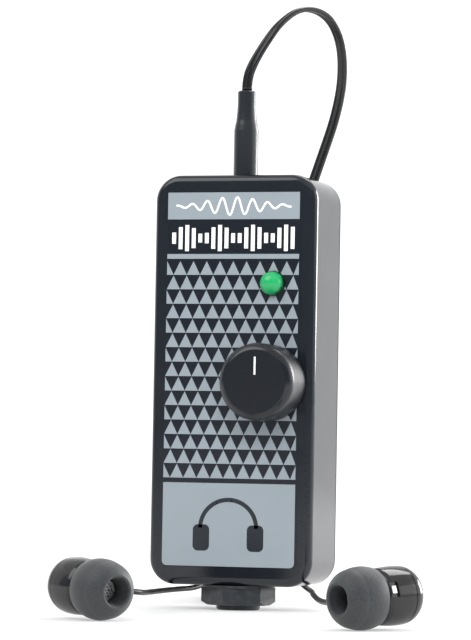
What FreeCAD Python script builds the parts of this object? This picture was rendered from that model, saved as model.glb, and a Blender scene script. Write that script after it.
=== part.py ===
"""Pocket headphone amplifier standing on its input jack, with a pair of earphones plugged in.

The input jack points down and its mouth is the origin. The front, with the knob, faces -Y.
Heights are along +Z, all sizes are millimetres. Depths inside the case are counted from the
front face, as `front_depth(d)`.
"""

import FreeCAD, Part
import math
import os

V = FreeCAD.Vector

# ---- case ----
CASE_WIDTH = 35.4
CASE_HEIGHT = 86.0
CASE_DEPTH = 20.6
CASE_CORNER = 5.4  # seen from the front
CASE_EDGE = 1.65  # rounded edge round the front face
COVER_EDGE = 1.2  # rounded edge round the back
WALL = 1.6
FRONT_Y = -7.4  # the two jacks stand this far behind the front face
CASE_BOTTOM = 5.2  # the jack's nut and mouth lift the case off the floor
CASE_TOP = CASE_BOTTOM + CASE_HEIGHT
COVER_THICK = 1.7
COVER_LIP = 1.5
SEAM = 0.15  # groove where the cover meets the shell
BOSS_X, BOSS_R = 13.0, 2.4
BOSS_INSET = 4.8  # from the case's top and bottom
SCREW_R = 0.95
SCREW_HEAD_R, SCREW_HEAD = 1.9, 1.1

# ---- front label ----
LABEL_WIDTH = 29.2
LABEL_BOTTOM, LABEL_TOP = 9.1, 87.6
LABEL_CORNER = 1.0
LABEL_THICK = 0.05

# ---- volume control ----
KNOB_X, KNOB_Z = 8.1, 47.6
KNOB_R, KNOB_HEIGHT = 8.0, 10.4
KNOB_GAP = 0.4
KNOB_SIDE = 8.4  # height of the straight side, where the rounded rim begins
KNOB_FACE_R = 6.6
KNOB_HOLLOW_R, KNOB_HOLLOW = 6.6, 3.8
POINTER_IN, POINTER_OUT, POINTER_WIDE = 1.4, 5.1, 0.38
SHAFT_R = 3.0
FIT = 0.05  # running clearance of a shaft in its bore
POT_SIDE, POT_DEPTH = 9.6, 6.8
POT_CAVITY_R = 4.2
BUSHING_R, BUSHING_OUT = 3.5, 3.4
POT_NUT_AF, POT_NUT_THICK, WASHER_THICK = 10.0, 2.0, 0.4

# ---- status light ----
LED_X, LED_Z, LED_R = 8.6, 68.3, 2.5
LED_PROUD = 0.9  # the straight part of the lens stands this far out
LED_FLANGE_R = 2.9

# ---- input jack, 6.35 mm ----
INPUT_BORE_R = 3.2
INPUT_BUSHING_R, INPUT_BUSHING_LONG = 4.6, 9.0
INPUT_NUT_AF = 13.6
INPUT_NUT_BOTTOM, INPUT_NUT_TOP = 1.05, 4.7
INPUT_NUT_TURN = -37.4  # degrees, where one corner of the nut points
INPUT_WIDE, INPUT_TOP = 15.9, 31.0
INPUT_CAVITY_R, INPUT_PLUG_DEPTH = 3.6, 30.5

# ---- headphone jack and plug, 3.5 mm ----
PHONES_WIDE, PHONES_LONG, PHONES_THICK = 6.6, 14.0, 5.0
PHONES_BORE_R, PHONES_NOSE_R = 1.8, 3.0
PLUG_R, PLUG_LONG = 1.75, 14.0
PLUG_TOP = 109.5
BARREL_R, NECK_R = 2.6, 1.93

# ---- board and battery ----
BOARD_NEAR, BOARD_THICK = 9.9, 1.6  # depths behind the front face
BOARD_WIDE, BOARD_LOW, BOARD_HIGH = 30.8, 43.2, 88.4
CELL_R, CELL_LONG, CELL_Z, CELL_DEPTH = 5.15, 27.5, 37.3, 9.5

# ---- earphone cord ----
CORD_D, LEAD_D = 2.2, 1.15
SIGHT = (-0.2896, 0.9571)  # the hank lies straight behind the case along this line
HANK_START, HANK_LONG, HANK_WIDE, HANK_TALL = 24.0, 44.0, 13.0, 7.5
HANK_LIFT = 0.6  # thickness of the tie under the hank
HANK_ROUND = 2.4
TIE_START, TIE_LONG = 53.0, 5.0
SLIDER_START, SLIDER_LONG, SLIDER_WIDE, SLIDER_TALL = 28.0, 9.0, 5.2, 3.0
LEAD_APART = 1.2  # each lead leaves the slider this far from its middle
LEAD_STRAIGHT = 4.6  # and runs this far straight out of it
CORD_ROUTE = [
    (0.0, 0.0, 109.5),
    (0.0, 0.0, 112.2),
    (1.1, 0.2, 115.3),
    (3.1, 1.1, 119.2),
    (5.8, 3.7, 124.4),
    (9.2, 9.2, 128.5),
    (13.2, 15.2, 127.6),
    (15.2, 19.6, 122.4),
    (15.0, 22.3, 114.5),
    (13.3, 23.0, 106.3),
    (10.6, 22.6, 98.0),
    (7.5, 22.0, 88.5),
    (3.0, 23.2, 74.0),
    (-2.0, 27.0, 56.0),
    (-7.2, 33.0, 38.0),
    (-11.6, 39.6, 24.0),
    (-12.74, 42.1, 15.0),
    (-12.74, 42.1, 8.1),
]
# between the slider's exit and the bud's relief
LEFT_ROUTE = [
    (-10.4, 18.0, 6.2),
    (-12.4, 11.0, 3.9),
    (-13.6, 1.5, 3.9),
    (-13.6, -8.5, 3.95),
    (-12.2, -18.5, 4.1),
    (-10.2, -28.5, 4.35),
    (-8.4, -37.5, 4.6),
]
RIGHT_ROUTE = [
    (-1.6, 19.6, 8.4),
    (3.4, 18.8, 7.2),
    (8.0, 17.6, 5.8),
    (11.4, 13.9, 4.1),
    (13.8, 8.6, 3.8),
    (16.6, -1.4, 3.9),
    (19.6, -11.8, 4.1),
    (22.8, -22.2, 4.2),
    (26.2, -32.2, 4.0),
    (30.0, -41.6, 3.9),
    (33.4, -48.2, 4.3),
]

# ---- earbuds ----
BUD_TIP_R = 6.0
BUD_HEIGHT = 6.02
BUD_TILT = -3.0  # degrees, the tips point a little down
BUDS = {
    "left": {"at": (-9.0, -62.1), "points": -35.6, "cord_side": 1, "route": LEFT_ROUTE},
    "right": {"at": (44.0, -67.5), "points": -126.1, "cord_side": -1, "route": RIGHT_ROUTE},
}
BUD_EXIT_U = -7.2  # where the cord leaves, along the bud's own axis
BUD_HOUSING_R = 5.65
RELIEF_LONG, RELIEF_SUNK = 5.0, 0.35
RELIEF_DROP = 5.5  # degrees, the lead leaves a little below level
NOZZLE_R, NOZZLE_BORE_R = 2.3, 1.95
BUD_SEAM, SEAM_R = 0.2, 5.2
MARK_TURN = 18.0  # degrees above the housing's side
MARK_FLOOR = 5.0  # from the bud's axis to the floor of the mark's recess


def front_depth(d):
    """The Y of a place d behind the front face."""
    return FRONT_Y + d


BACK_Y = front_depth(CASE_DEPTH)
COVER_Y = front_depth(CASE_DEPTH - COVER_THICK)
INNER_FRONT = front_depth(WALL)


def save(node, shape):
    shape.exportStep("parts/" + node + ".step")
    print(f"{node}: {len(shape.Solids)} solids, {shape.Volume:.1f} mm3, valid {shape.isValid()}")


def box(low, high):
    """A box between two corners."""
    return Part.makeBox(*(b - a for a, b in zip(low, high)), V(*low))


def rod(radius, start, end):
    """A cylinder between two points."""
    path = V(*end) - V(*start)
    return Part.makeCylinder(radius, path.Length, V(*start), path)


def rounded_plate(width, low, high, near, far, corner):
    """A plate with round corners, seen from the front, between two Y values."""
    half = width / 2
    plate = box((-half, near, low), (half, far, high))
    edges = [e for e in plate.Edges if abs(e.tangentAt(e.FirstParameter).y) > 0.99]
    return plate.makeFillet(corner, edges)


def round_rim(shape, y, radius):
    """Rounds the outer edge of the flat face at Y = y."""
    rim = [e for e in shape.Edges if abs(e.BoundBox.YMin - y) < 1e-6 and e.BoundBox.YLength < 1e-6]
    return shape.makeFillet(radius, rim)


def revolve(profile):
    """A solid of revolution about Z from (radius, z) points."""
    points = [V(r, 0, z) for r, z in profile + profile[:1]]
    return Part.Face(Part.makePolygon(points)).revolve(V(0, 0, 0), V(0, 0, 1), 360)


def arc_profile(parts):
    """A closed (radius, z) outline of points and three-point arcs, revolved about Z."""
    edges = []
    for part in parts:
        points = [V(r, 0, z) for r, z in part]
        if len(points) == 3:
            edges.append(Part.Arc(*points).toShape())
        else:
            edges.append(Part.LineSegment(*points).toShape())
    return Part.Face(Part.Wire(edges)).revolve(V(0, 0, 0), V(0, 0, 1), 360)


def hexagon(across_flats, low, high, turn):
    """A hexagonal prism along Z with one corner at the angle turn."""
    radius = across_flats / math.sqrt(3)
    angles = [math.radians(turn + 60 * i) for i in range(7)]
    outline = Part.makePolygon([V(radius * math.cos(a), radius * math.sin(a), low) for a in angles])
    return Part.Face(outline).extrude(V(0, 0, high - low))


def along_front(shape, x, z, y):
    """Lays a part made along +Z so that it points out of the front at (x, y, z)."""
    return shape.transformGeometry(
        FreeCAD.Placement(V(x, y, z), FreeCAD.Rotation(V(1, 0, 0), 90)).toMatrix()
    )


def case_corners():
    """The middles of the four screw bosses, as (x, z)."""
    heights = (CASE_BOTTOM + BOSS_INSET, CASE_TOP - BOSS_INSET)
    return [(x, z) for x in (-BOSS_X, BOSS_X) for z in heights]


BOSS_TOP_Y = COVER_Y - COVER_LIP - 0.1
POSTS = [(-13.4, 49.0), (-13.4, 76.0), (13.4, 59.0)]
POST_R, POST_BORE = 1.6, 0.8


def front_shell():
    """The front, sides, top and bottom of the case in one moulding."""
    outer = rounded_plate(CASE_WIDTH, CASE_BOTTOM, CASE_TOP, FRONT_Y, COVER_Y, CASE_CORNER)
    outer = round_rim(outer, FRONT_Y, CASE_EDGE)
    inner = rounded_plate(
        CASE_WIDTH - 2 * WALL, CASE_BOTTOM + WALL, CASE_TOP - WALL,
        INNER_FRONT, COVER_Y + 1, CASE_CORNER - WALL,
    )
    shell = outer.cut(inner)
    bosses = [rod(BOSS_R, (x, INNER_FRONT, z), (x, BOSS_TOP_Y, z)) for x, z in case_corners()]
    posts = [
        rod(POST_R, (x, INNER_FRONT, z), (x, front_depth(BOARD_NEAR), z)) for x, z in POSTS
    ]
    shell = shell.fuse(bosses + posts)
    holes = [
        rod(SCREW_R, (x, front_depth(8), z), (x, BOSS_TOP_Y + 1, z)) for x, z in case_corners()
    ]
    holes += [
        rod(POST_BORE, (x, front_depth(5), z), (x, front_depth(11), z)) for x, z in POSTS
    ]
    holes.append(rod(INPUT_BUSHING_R, (0, 0, CASE_BOTTOM - 1), (0, 0, CASE_BOTTOM + 3)))
    holes.append(rod(PHONES_NOSE_R, (0, 0, CASE_TOP - 3), (0, 0, CASE_TOP + 1)))
    holes.append(rod(BUSHING_R, (KNOB_X, FRONT_Y - 1, KNOB_Z), (KNOB_X, INNER_FRONT + 1, KNOB_Z)))
    holes.append(rod(LED_R + 0.1, (LED_X, FRONT_Y - 1, LED_Z), (LED_X, INNER_FRONT + 1, LED_Z)))
    return shell.cut(holes).removeSplitter()


def back_cover():
    """The flat back, with a lip inside the shell and four countersunk screw holes."""
    plate = rounded_plate(CASE_WIDTH, CASE_BOTTOM, CASE_TOP, COVER_Y + 2 * SEAM, BACK_Y, CASE_CORNER)
    plate = round_rim(plate, BACK_Y, COVER_EDGE)
    seam = rounded_plate(
        CASE_WIDTH - 2 * SEAM, CASE_BOTTOM + SEAM, CASE_TOP - SEAM,
        COVER_Y, COVER_Y + 3 * SEAM, CASE_CORNER - SEAM,
    )
    inset = WALL + 0.1
    lip_out = rounded_plate(
        CASE_WIDTH - 2 * inset, CASE_BOTTOM + inset, CASE_TOP - inset,
        COVER_Y - COVER_LIP, COVER_Y + 0.1, CASE_CORNER - inset,
    )
    inset += 1.0
    lip_in = rounded_plate(
        CASE_WIDTH - 2 * inset, CASE_BOTTOM + inset, CASE_TOP - inset,
        COVER_Y - COVER_LIP - 1, COVER_Y, CASE_CORNER - inset,
    )
    pads = [
        rod(BOSS_R - 0.2, (x, COVER_Y - COVER_LIP, z), (x, COVER_Y + 0.1, z))
        for x, z in case_corners()
    ]
    cover = plate.fuse([seam, lip_out.cut(lip_in)] + pads)
    holes = []
    for x, z in case_corners():
        holes.append(rod(SCREW_R + 0.15, (x, COVER_Y - 3, z), (x, BACK_Y + 1, z)))
        holes.append(
            Part.makeCone(SCREW_R, SCREW_HEAD_R, SCREW_HEAD, V(x, BACK_Y - SCREW_HEAD, z), V(0, 1, 0))
        )
    return cover.cut(holes).removeSplitter()


def cover_screws():
    """Four countersunk screws with cross recesses."""
    screws = []
    slot, deep = 0.35, 0.6
    for x, z in case_corners():
        head = Part.makeCone(
            SCREW_R - 0.05, SCREW_HEAD_R - 0.05, SCREW_HEAD, V(x, BACK_Y - SCREW_HEAD, z), V(0, 1, 0)
        )
        shank = rod(SCREW_R - 0.02, (x, front_depth(9), z), (x, BACK_Y - SCREW_HEAD, z))
        top = BACK_Y - deep
        cross = [
            box((x - 1.1, top, z - slot / 2), (x + 1.1, BACK_Y + 1, z + slot / 2)),
            box((x - slot / 2, top, z - 1.1), (x + slot / 2, BACK_Y + 1, z + 1.1)),
        ]
        screws.append(head.fuse(shank).cut(cross))
    return Part.makeCompound(screws)


def front_label():
    """The printed film on the front, open round the knob's nut and the light."""
    film = rounded_plate(
        LABEL_WIDTH, LABEL_BOTTOM, LABEL_TOP, FRONT_Y - LABEL_THICK, FRONT_Y, LABEL_CORNER
    )
    washer_hole = rod(6.2, (KNOB_X, FRONT_Y - 1, KNOB_Z), (KNOB_X, FRONT_Y + 1, KNOB_Z))
    lens_hole = rod(LED_R + 0.1, (LED_X, FRONT_Y - 1, LED_Z), (LED_X, FRONT_Y + 1, LED_Z))
    return film.cut([washer_hole, lens_hole])


def shaft_outline(radius, low, high, flat):
    """A D-shaped shaft: a rod with one flat on its upper side."""
    shaft = Part.makeCylinder(radius, high - low, V(0, 0, low))
    return shaft.cut(box((-radius, flat, low - 1), (radius, radius + 1, high + 1)))


def volume_knob():
    """A plain round knob with a flat face, rounded rim, hollow back and D-shaped bore."""
    body = arc_profile([
        [(0, 0), (KNOB_R, 0)],
        [(KNOB_R, 0), (KNOB_R, KNOB_SIDE)],
        [(KNOB_R, KNOB_SIDE), (7.615, 9.62), (KNOB_FACE_R, KNOB_HEIGHT)],
        [(KNOB_FACE_R, KNOB_HEIGHT), (0, KNOB_HEIGHT)],
        [(0, KNOB_HEIGHT), (0, 0)],
    ])
    hollow = Part.makeCylinder(KNOB_HOLLOW_R, KNOB_HOLLOW, V(0, 0, 0))
    bore = shaft_outline(SHAFT_R, KNOB_HOLLOW - 1, KNOB_HEIGHT - 1.4, SHAFT_R - 1.5)
    groove = box(
        (-POINTER_WIDE / 2, POINTER_IN, KNOB_HEIGHT - 0.3),
        (POINTER_WIDE / 2, POINTER_OUT, KNOB_HEIGHT + 1),
    )
    knob = body.cut([hollow, bore, groove])
    return along_front(knob, KNOB_X, KNOB_Z, FRONT_Y - KNOB_GAP)


def knob_pointer():
    """The white line let into the knob's face."""
    line = box(
        (-POINTER_WIDE / 2, POINTER_IN, KNOB_HEIGHT - 0.3),
        (POINTER_WIDE / 2, POINTER_OUT, KNOB_HEIGHT + 0.02),
    )
    return along_front(line, KNOB_X, KNOB_Z, FRONT_Y - KNOB_GAP)


WIPER_DEPTH = 3.6


def pot_shaft():
    """The shaft, round in its bushing and D-shaped in the knob."""
    start = -WIPER_DEPTH
    joint = KNOB_GAP + KNOB_HOLLOW
    end = KNOB_GAP + KNOB_HEIGHT - 1.5
    round_part = Part.makeCylinder(SHAFT_R - 0.01, joint - start, V(0, 0, start))
    flat_part = shaft_outline(SHAFT_R - 0.01, joint - 0.1, end, SHAFT_R - 1.51)
    return along_front(round_part.fuse(flat_part), KNOB_X, KNOB_Z, FRONT_Y)


def pot_wiper():
    """The rotor disc with its two contact fingers."""
    disc = Part.makeCylinder(3.6, 1.2, V(0, 0, -WIPER_DEPTH - 1.2))
    fingers = [
        box((x - 0.4, 1.2, -WIPER_DEPTH - 2.4), (x + 0.4, 3.0, -WIPER_DEPTH - 1.2))
        for x in (-1.2, 1.2)
    ]
    return along_front(disc.fuse(fingers), KNOB_X, KNOB_Z, FRONT_Y)


def pot_body():
    """The control's square case, with a round chamber for the rotor."""
    half = POT_SIDE / 2
    case = box((-half, -half, -WALL - POT_DEPTH), (half, half, -WALL))
    chamber = Part.makeCylinder(POT_CAVITY_R, 5.0, V(0, 0, -WALL - 5.9))
    throat = Part.makeCylinder(SHAFT_R + FIT, 3, V(0, 0, -WALL - 2))
    return along_front(case.cut([chamber, throat]), KNOB_X, KNOB_Z, FRONT_Y)


def pot_bushing():
    """The threaded sleeve that the shaft turns in."""
    sleeve = Part.makeCylinder(BUSHING_R - 0.01, BUSHING_OUT + WALL, V(0, 0, -WALL))
    bore = Part.makeCylinder(SHAFT_R + FIT, BUSHING_OUT + WALL + 2, V(0, 0, -WALL - 1))
    return along_front(sleeve.cut(bore), KNOB_X, KNOB_Z, FRONT_Y)


def pot_nut():
    """The hexagonal nut on the sleeve, inside the knob's hollow."""
    nut = hexagon(POT_NUT_AF, WASHER_THICK, WASHER_THICK + POT_NUT_THICK, 15)
    bore = Part.makeCylinder(BUSHING_R, 5)
    return along_front(nut.cut(bore), KNOB_X, KNOB_Z, FRONT_Y)


def pot_washer():
    """The flat washer under that nut."""
    ring = Part.makeCylinder(6.0, WASHER_THICK).cut(Part.makeCylinder(BUSHING_R, WASHER_THICK))
    return along_front(ring, KNOB_X, KNOB_Z, FRONT_Y)


def pot_pins():
    """Three pins from the control to the board."""
    near, far = front_depth(WALL + POT_DEPTH), front_depth(BOARD_NEAR)
    pins = []
    for x in (KNOB_X - 2.5, KNOB_X, KNOB_X + 2.5):
        pins.append(box((x - 0.4, near, KNOB_Z - 3.6), (x + 0.4, far, KNOB_Z - 3.2)))
    return Part.makeCompound(pins)


def status_led():
    """A 5 mm light-emitting diode: flange, straight part and dome."""
    back = -5.0
    lens = Part.makeCylinder(LED_R, LED_PROUD - back, V(0, 0, back))
    dome = Part.makeSphere(LED_R, V(0, 0, LED_PROUD))
    flange = Part.makeCylinder(LED_FLANGE_R, 1.0, V(0, 0, -WALL - 1.0))
    return along_front(lens.fuse([dome, flange]).removeSplitter(), LED_X, LED_Z, FRONT_Y)


def led_legs():
    """The two legs of the light, down to the board."""
    near, far, half = front_depth(5.0), front_depth(BOARD_NEAR), 0.25
    legs = []
    for x in (LED_X - 1.27, LED_X + 1.27):
        legs.append(box((x - half, near, LED_Z - half), (x + half, far, LED_Z + half)))
    return Part.makeCompound(legs)


INPUT_LOW = CASE_BOTTOM + WALL


def input_jack_body():
    """The jack's box, bored for the plug, with a side chamber for its tip spring."""
    half = INPUT_WIDE / 2
    body = box((-half, INNER_FRONT, INPUT_LOW), (half, front_depth(13.2), INPUT_TOP))
    socket = rod(INPUT_BUSHING_R, (0, 0, INPUT_LOW - 1), (0, 0, INPUT_BUSHING_LONG))
    tunnel = rod(INPUT_CAVITY_R, (0, 0, INPUT_LOW), (0, 0, INPUT_PLUG_DEPTH + 0.1))
    chamber = box((2.0, -1.6, 17.0), (7.0, 1.6, 30.0))
    return body.cut([socket, tunnel, chamber])


def input_jack_bushing():
    """The threaded sleeve of the input jack, which the amplifier stands on."""
    chamfer = 0.35
    profile = [
        (INPUT_BORE_R, 0),
        (INPUT_BUSHING_R - chamfer, 0),
        (INPUT_BUSHING_R - 0.01, chamfer),
        (INPUT_BUSHING_R - 0.01, INPUT_BUSHING_LONG),
        (INPUT_BORE_R, INPUT_BUSHING_LONG),
    ]
    return revolve(profile)


def input_jack_nut():
    """The large hexagonal nut with chamfered lower corners."""
    nut = hexagon(INPUT_NUT_AF, INPUT_NUT_BOTTOM, INPUT_NUT_TOP, INPUT_NUT_TURN)
    corner_r = INPUT_NUT_AF / math.sqrt(3)
    flat_r = INPUT_NUT_AF / 2
    cone = revolve([
        (0, INPUT_NUT_BOTTOM),
        (flat_r - 0.1, INPUT_NUT_BOTTOM),
        (corner_r + 0.05, INPUT_NUT_BOTTOM + 0.75),
        (corner_r + 0.05, INPUT_NUT_TOP),
        (0, INPUT_NUT_TOP),
    ])
    return nut.common(cone).cut(rod(INPUT_BUSHING_R, (0, 0, 0), (0, 0, INPUT_NUT_TOP + 1)))


def input_jack_washer():
    """The thin washer between the nut and the case."""
    ring = rod(7.6, (0, 0, INPUT_NUT_TOP), (0, 0, CASE_BOTTOM))
    return ring.cut(rod(INPUT_BUSHING_R, (0, 0, 0), (0, 0, CASE_BOTTOM + 1)))


def strip(points, thick, low, high):
    """A bent strip of sheet metal: a path in X and Z, thick across it, between two Y values."""
    outline = [V(x, low, z) for x, z in points] + [V(x + thick, low, z) for x, z in reversed(points)]
    return Part.Face(Part.makePolygon(outline + [outline[0]])).extrude(V(0, high - low, 0))


def input_tip_spring():
    """The bent spring that touches the plug's tip."""
    return strip([(6.5, 17.2), (6.5, 21.0), (3.9, 26.4), (3.2, 27.6), (4.4, 29.4)], 0.3, -1.2, 1.2)


def input_terminals():
    """Solder tags at the back of the input jack."""
    tags = [
        box((x - 1.0, front_depth(13.2), z), (x + 1.0, front_depth(15.6), z + 0.4))
        for x, z in ((-5.0, 12.0), (-5.0, 22.0), (5.0, 25.0))
    ]
    return Part.makeCompound(tags)


PHONES_LOW = CASE_TOP - WALL - PHONES_LONG


def phones_jack_body():
    """The 3.5 mm jack on the board, with its round nose through the top of the case."""
    half = PHONES_WIDE / 2
    low, high = PHONES_LOW, CASE_TOP - WALL
    body = box(
        (-half, front_depth(BOARD_NEAR - PHONES_THICK), low), (half, front_depth(BOARD_NEAR), high)
    )
    nose = rod(PHONES_NOSE_R - 0.02, (0, 0, high), (0, 0, CASE_TOP))
    bore = rod(PHONES_BORE_R, (0, 0, low + 0.8), (0, 0, CASE_TOP + 1))
    windows = [
        box((-half - 1, -0.9, low + 3), (-1.2, 0.9, low + 10)),
        box((1.2, -0.9, low + 3), (half + 1, 0.9, low + 10)),
    ]
    return body.fuse(nose).cut([bore] + windows)


def phones_jack_contacts():
    """The two contact springs in the jack's side windows."""
    low = PHONES_LOW + 3
    blades = [
        box((-2.6, -0.8, low), (-2.4, 0.8, low + 7)),
        box((2.4, -0.8, low), (2.6, 0.8, low + 7)),
    ]
    return Part.makeCompound(blades)


def circuit_board():
    """The board, notched round the upper screw bosses."""
    half = BOARD_WIDE / 2
    near, far = front_depth(BOARD_NEAR), front_depth(BOARD_NEAR + BOARD_THICK)
    board = box((-half, near, BOARD_LOW), (half, far, BOARD_HIGH))
    notch_x, notch_z = BOSS_X - BOSS_R - 0.7, CASE_TOP - BOSS_INSET - BOSS_R - 0.7
    notches = [
        box((-half - 1, near - 1, notch_z), (-notch_x, far + 1, BOARD_HIGH + 1)),
        box((notch_x, near - 1, notch_z), (half + 1, far + 1, BOARD_HIGH + 1)),
    ]
    holes = [rod(POST_BORE + 0.2, (x, near - 1, z), (x, far + 1, z)) for x, z in POSTS]
    return board.cut(notches + holes)


def board_screws():
    """Three pan-head screws that hold the board to its posts."""
    far = front_depth(BOARD_NEAR + BOARD_THICK)
    screws = []
    for x, z in POSTS:
        shank = rod(POST_BORE - 0.02, (x, front_depth(5.5), z), (x, far, z))
        head = rod(1.5, (x, far, z), (x, far + 1.0, z))
        slot = box((x - 1.5, far + 0.6, z - 0.2), (x + 1.5, far + 2, z + 0.2))
        screws.append(shank.fuse(head).cut(slot))
    return Part.makeCompound(screws)


def amplifier_chip():
    """An eight-leg amplifier chip on the back of the board."""
    far = front_depth(BOARD_NEAR + BOARD_THICK)
    x, z = -2.0, 66.0
    body = box((x - 2.0, far + 0.2, z - 2.5), (x + 2.0, far + 1.7, z + 2.5))
    pin_mark = rod(0.4, (x - 1.3, far + 1.6, z + 1.8), (x - 1.3, far + 2, z + 1.8))
    legs = []
    for side in (-1, 1):
        for i in range(4):
            leg_z = z - 1.905 + 1.27 * i
            inner, outer = sorted((x + side * 2.0, x + side * 3.0))
            legs.append(box((inner, far, leg_z - 0.2), (outer, far + 0.8, leg_z + 0.2)))
    return body.cut(pin_mark).fuse(legs)


def capacitors():
    """Three electrolytic capacitors standing on the back of the board."""
    far = front_depth(BOARD_NEAR + BOARD_THICK)
    cans = []
    for x, z, radius in ((7.0, 77.0, 2.5), (7.0, 70.0, 2.5), (-8.0, 56.0, 3.0)):
        base = rod(radius, (x, far, z), (x, far + 0.8, z))
        can = rod(radius - 0.15, (x, far, z), (x, far + 5.2, z))
        vent = box((x - radius, far + 5.0, z - 0.1), (x + radius, far + 6, z + 0.1))
        cans.append(base.fuse(can).cut(vent))
    return Part.makeCompound(cans)


def resistors():
    """Surface resistors in two columns beside the chip."""
    far = front_depth(BOARD_NEAR + BOARD_THICK)
    chips = []
    for x in (-9.0, 2.6):
        for i in range(4):
            z = 62.0 + 2.6 * i
            chips.append(box((x - 1.0, far, z - 0.62), (x + 1.0, far + 0.5, z + 0.62)))
    return Part.makeCompound(chips)


CELL_NUB_X = -15.0
CELL_BACK_X = CELL_NUB_X + 1.0 + CELL_LONG


def battery():
    """A small 12 V alkaline cell lying across the case, with its raised end to the left."""
    y = front_depth(CELL_DEPTH)
    can = rod(CELL_R, (CELL_NUB_X + 1.0, y, CELL_Z), (CELL_BACK_X, y, CELL_Z))
    nub = rod(1.6, (CELL_NUB_X, y, CELL_Z), (CELL_NUB_X + 1.1, y, CELL_Z))
    return can.fuse(nub)


def battery_holder():
    """The cradle moulded to the cell, with an end wall behind each contact."""
    y = front_depth(CELL_DEPTH)
    low, high = CELL_Z - 5.4, CELL_Z + 5.4
    cradle = box((-16.0, INNER_FRONT, low), (16.0, front_depth(6.5), high))
    ends = [
        box((-16.0, INNER_FRONT, low), (-15.4, front_depth(12.5), high)),
        box((15.4, INNER_FRONT, low), (16.0, front_depth(12.5), high)),
    ]
    trough = rod(CELL_R + 0.1, (-15.4, y, CELL_Z), (15.4, y, CELL_Z))
    return cradle.fuse(ends).cut(trough)


def battery_plus_plate():
    """The flat contact at the raised end, with a tag up to the board."""
    near, far = front_depth(6.6), front_depth(12.4)
    plate = box((-15.4, near, CELL_Z - 4), (CELL_NUB_X, far, CELL_Z + 4))
    tag = box((-15.4, front_depth(BOARD_NEAR), CELL_Z + 4), (CELL_NUB_X, front_depth(11.4), BOARD_LOW))
    return plate.fuse(tag)


def battery_minus_leaf():
    """The bent leaf spring that presses on the flat end, with a tag up to the board."""
    back_x = 15.0
    path = [
        (back_x, CELL_Z - 4.5),
        (back_x, CELL_Z - 2.5),
        (CELL_BACK_X, CELL_Z),
        (back_x, CELL_Z + 2.5),
        (back_x, BOARD_LOW),
    ]
    return strip(path, 0.35, front_depth(9.9), front_depth(11.4))


def plug_overmould():
    """The moulded grip: a round barrel, a shoulder and a slimmer neck."""
    low = CASE_TOP + FIT
    round_edge = 0.25
    profile = [
        (0, low),
        (BARREL_R - round_edge, low),
        (BARREL_R, low + round_edge),
        (BARREL_R, 101.1),
        (2.42, 102.2),
        (2.19, 103.2),
        (2.02, 105.0),
        (NECK_R, 106.8),
        (NECK_R, PLUG_TOP - round_edge),
        (NECK_R - round_edge, PLUG_TOP),
        (0, PLUG_TOP),
    ]
    grip = revolve(profile)
    return grip.cut(rod(PLUG_R - 0.25, (0, 0, low - 1), (0, 0, 95.0)))


PLUG_LOW = CASE_TOP + FIT - PLUG_LONG


def plug_sleeve():
    """The metal sleeve of the 3.5 mm plug and its core inside the grip."""
    low = PLUG_LOW + 7.8
    sleeve = rod(PLUG_R, (0, 0, low), (0, 0, CASE_TOP + FIT))
    core = rod(PLUG_R - 0.25, (0, 0, CASE_TOP), (0, 0, 95.0))
    return sleeve.fuse(core)


def plug_insulators():
    """The two thin plastic rings between the plug's contacts."""
    rings = [
        rod(PLUG_R - 0.03, (0, 0, PLUG_LOW + z), (0, 0, PLUG_LOW + z + 0.6)) for z in (3.6, 7.2)
    ]
    return Part.makeCompound(rings)


def plug_ring():
    """The middle contact."""
    return rod(PLUG_R, (0, 0, PLUG_LOW + 4.2), (0, 0, PLUG_LOW + 7.2))


def plug_tip():
    """The pointed contact with its waist."""
    profile = [
        (0, 0),
        (0.55, 0),
        (1.6, 1.5),
        (1.62, 2.0),
        (1.05, 2.9),
        (1.72, 3.6),
        (0, 3.6),
    ]
    return revolve([(r, z + PLUG_LOW) for r, z in profile])


def routed_tube(name, route, diameter):
    """A cord's tube: straight runs, with an arc at each point as large as its two runs allow."""
    points = [V(*p) for p in route]
    edges, radii = [], []
    last = points[0]
    for before, at, after in zip(points, points[1:], points[2:]):
        back, on = (before - at), (after - at)
        reach = 0.45 * min(back.Length, on.Length)
        back.normalize()
        on.normalize()
        turn = math.pi - back.getAngle(on)
        radii.append(reach / math.tan(turn / 2))
        start, end = at + back * reach, at + on * reach
        inward = back + on
        inward.normalize()
        centre_far = radii[-1] / math.cos(turn / 2)
        middle = at + inward * (centre_far - radii[-1])
        edges.append(Part.LineSegment(last, start).toShape())
        edges.append(Part.Arc(start, middle, end).toShape())
        last = end
    edges.append(Part.LineSegment(last, points[-1]).toShape())
    path = Part.Wire(edges)
    direction = points[1] - points[0]
    section = Part.Wire(Part.makeCircle(diameter / 2, points[0], direction))
    tube = path.makePipeShell([section], True, True)
    expected = math.pi * diameter ** 2 / 4 * path.Length
    print(f"{name}: points {[tuple(round(c, 2) for c in p) for p in points]}")
    print(f"{name}: {path.Length:.1f} mm long, radii {', '.join(f'{r:.1f}' for r in radii)}")
    print(f"{name}: volume is {tube.Volume / expected:.4f} of its section times its length")
    return tube


def behind(distance, across=0.0):
    """A place on the floor this far behind the jacks along the hank's line."""
    return (
        SIGHT[0] * distance + SIGHT[1] * across,
        SIGHT[1] * distance - SIGHT[0] * across,
    )


def lay_behind(shape):
    """Turns a part made along +Y so that it lies along the hank's line."""
    turned = shape.copy()
    turned.rotate(V(0, 0, 0), V(0, 0, 1), math.degrees(math.atan2(SIGHT[1], SIGHT[0])) - 90)
    return turned


def rounded_bar(start, end, half_wide, low, high, corner):
    """A bar along Y with rounded long edges."""
    bar = box((-half_wide, start, low), (half_wide, end, high))
    edges = [e for e in bar.Edges if abs(e.tangentAt(e.FirstParameter).y) > 0.99]
    return bar.makeFillet(corner, edges)


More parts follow.
